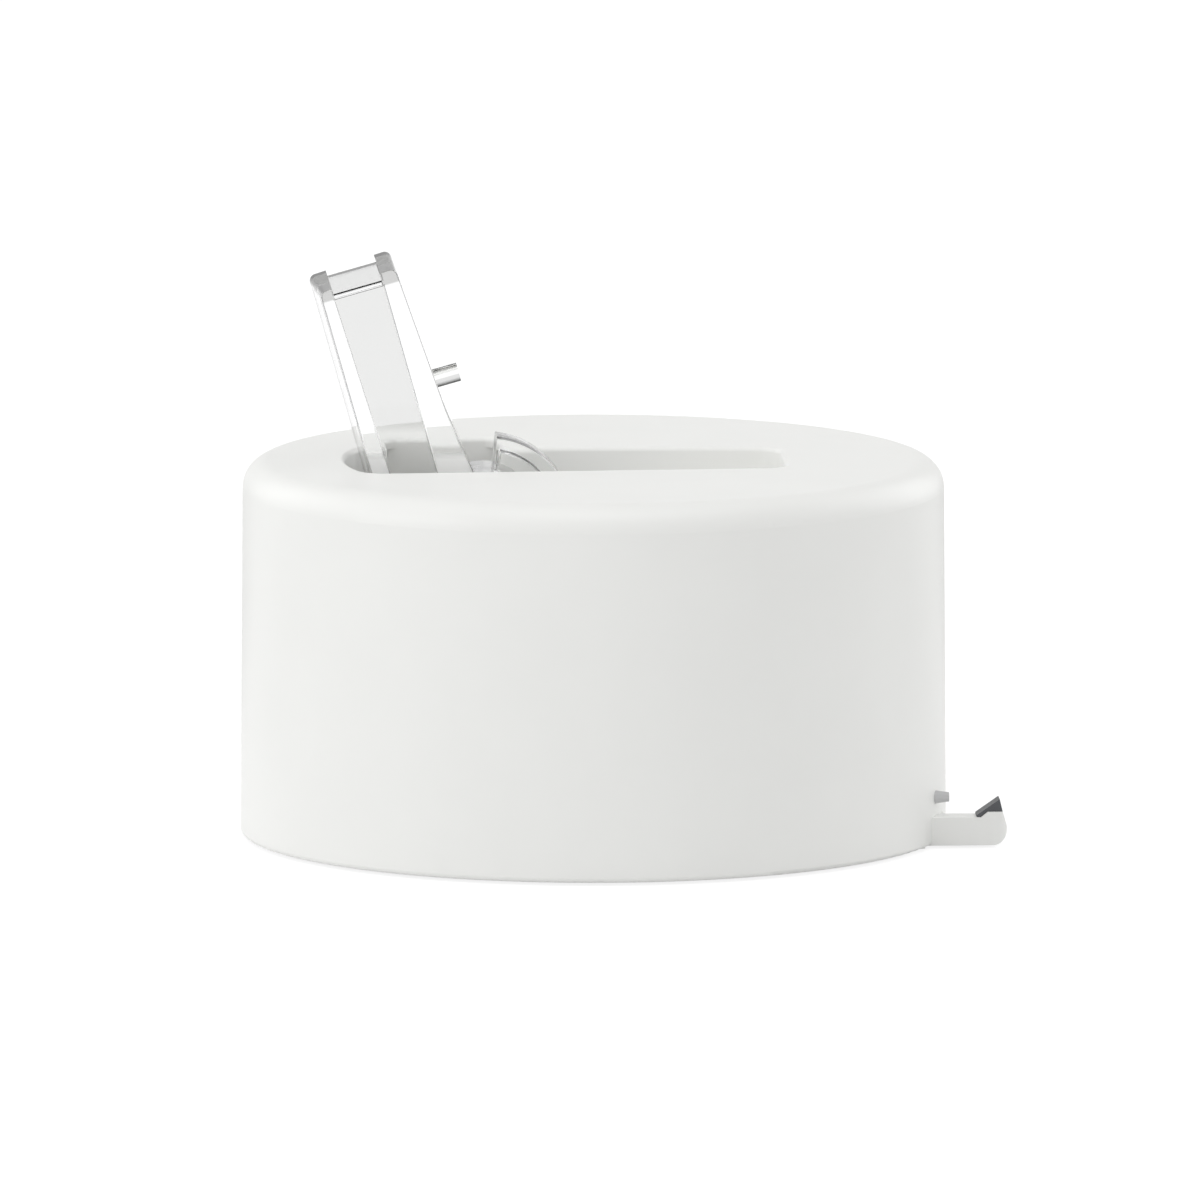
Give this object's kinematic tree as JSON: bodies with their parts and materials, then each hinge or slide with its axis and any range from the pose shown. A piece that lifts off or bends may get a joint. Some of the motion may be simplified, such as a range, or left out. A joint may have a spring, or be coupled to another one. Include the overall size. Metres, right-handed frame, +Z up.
{
  "type": "lever floss dispenser",
  "caption": "Round white desktop floss dispenser with a clear press lever in a top slot, a geared feed roller inside, and a low outlet beside a steel cutter lug.",
  "frame": {"origin": "middle of the drum on the table, at the underside of the pad", "axes": "+X along the slot towards the cutter side, +Z up, -Y towards the viewer of the picture"},
  "size_m": [0.0761, 0.0706, 0.058],
  "materials": {
    "white_plastic": "moulded, satin, slightly warm white",
    "clear_plastic": "clear moulded, polished",
    "dark_steel": "dark blade steel",
    "steel": "bright drawn steel",
    "frame_plastic": "moulded, satin, off-white",
    "grey_plastic": "moulded, smooth grey",
    "gear_plastic": "natural gear plastic",
    "rubber": "soft black rubber",
    "felt": "pressed grey felt",
    "floss": "wound white waxed thread"
  },
  "bodies": {
    "housing": {"drum_shell": "white_plastic", "base_plate": "white_plastic", "cutter_blade": "dark_steel", "outlet_eyelet": "grey_plastic", "base_screws": "steel", "foot_screws": "steel", "cover_screws": "steel", "lever_axle": "steel", "axle_clips": "steel", "idler_pin": "steel", "return_spring": "steel", "pinch_pivot": "steel", "pinch_spring": "steel", "gear_frame": "frame_plastic", "gear_cover": "frame_plastic", "roller_bracket": "frame_plastic", "spool_cap": "frame_plastic", "lever_washers": "gear_plastic", "anti_slip_pad": "rubber", "lever_bumper": "rubber", "felt_washer": "felt"},
    "lever": {"feed_lever": "clear_plastic", "sector_gear": "clear_plastic"},
    "drive": {"drive_shaft": "steel", "drive_pinion": "gear_plastic", "drive_gear": "gear_plastic"},
    "idler": {"idler_gear": "gear_plastic"},
    "feed_wheel": {"feed_gear": "gear_plastic", "one_way_clutch": "steel"},
    "roller": {"feed_shaft": "steel", "feed_roller": "gear_plastic", "roller_tyre": "rubber"},
    "pinch": {"pinch_arm": "frame_plastic", "pinch_axle": "steel"},
    "pinch_wheel": {"pinch_roller": "rubber"},
    "reel": {"spool": "frame_plastic", "floss_winding": "floss"}
  },
  "joints": [
    {"name": "lever_press", "type": "hinge", "parent": "housing", "child": "lever", "pos_m": [-0.01065, 0, 0.0317], "axis": [0, 1, 0], "range_deg": [0, 104], "stiffness_Nm_per_rad": 0.02, "springref_deg": -34.38},
    {"name": "drive_spin", "type": "hinge", "parent": "housing", "child": "drive", "pos_m": [-0.01065, 0, 0.0197], "axis": [0, 1, 0], "range_deg": [-243, 0]},
    {"name": "idler_spin", "type": "hinge", "parent": "housing", "child": "idler", "pos_m": [0.00803, 0, 0.01682], "axis": [0, 1, 0], "range_deg": [0, 221]},
    {"name": "feed_wheel_spin", "type": "hinge", "parent": "housing", "child": "feed_wheel", "pos_m": [0.02204, 0, 0.0093], "axis": [0, 1, 0], "range_deg": [-365, 0]},
    {"name": "roller_spin", "type": "hinge", "parent": "housing", "child": "roller", "pos_m": [0.02204, 0, 0.0093], "axis": [0, 1, 0], "continuous": true},
    {"name": "pinch_tilt", "type": "hinge", "parent": "housing", "child": "pinch", "pos_m": [0.01554, 0, 0.0044], "axis": [0, 1, 0], "range_deg": [0, 8], "stiffness_Nm_per_rad": 0.02, "springref_deg": -22.92, "deforming": ["pinch_spring"]},
    {"name": "pinch_wheel_spin", "type": "hinge", "parent": "pinch", "child": "pinch_wheel", "pos_m": [0.02204, 0, 0.0034], "axis": [0, 1, 0], "continuous": true},
    {"name": "reel_spin", "type": "hinge", "parent": "housing", "child": "reel", "pos_m": [-0.00848, -0.0095, 0], "axis": [0, 0, 1], "continuous": true}
  ],
  "couplings": [
    {"joint": "drive_spin", "follows": "lever_press", "ratio": -2.3333},
    {"joint": "idler_spin", "follows": "lever_press", "ratio": 2.1212},
    {"joint": "feed_wheel_spin", "follows": "lever_press", "ratio": -3.5},
    {"joint": "roller_spin", "follows": "reel_spin", "ratio": -3.38},
    {"joint": "pinch_wheel_spin", "follows": "reel_spin", "ratio": 10.4}
  ]
}
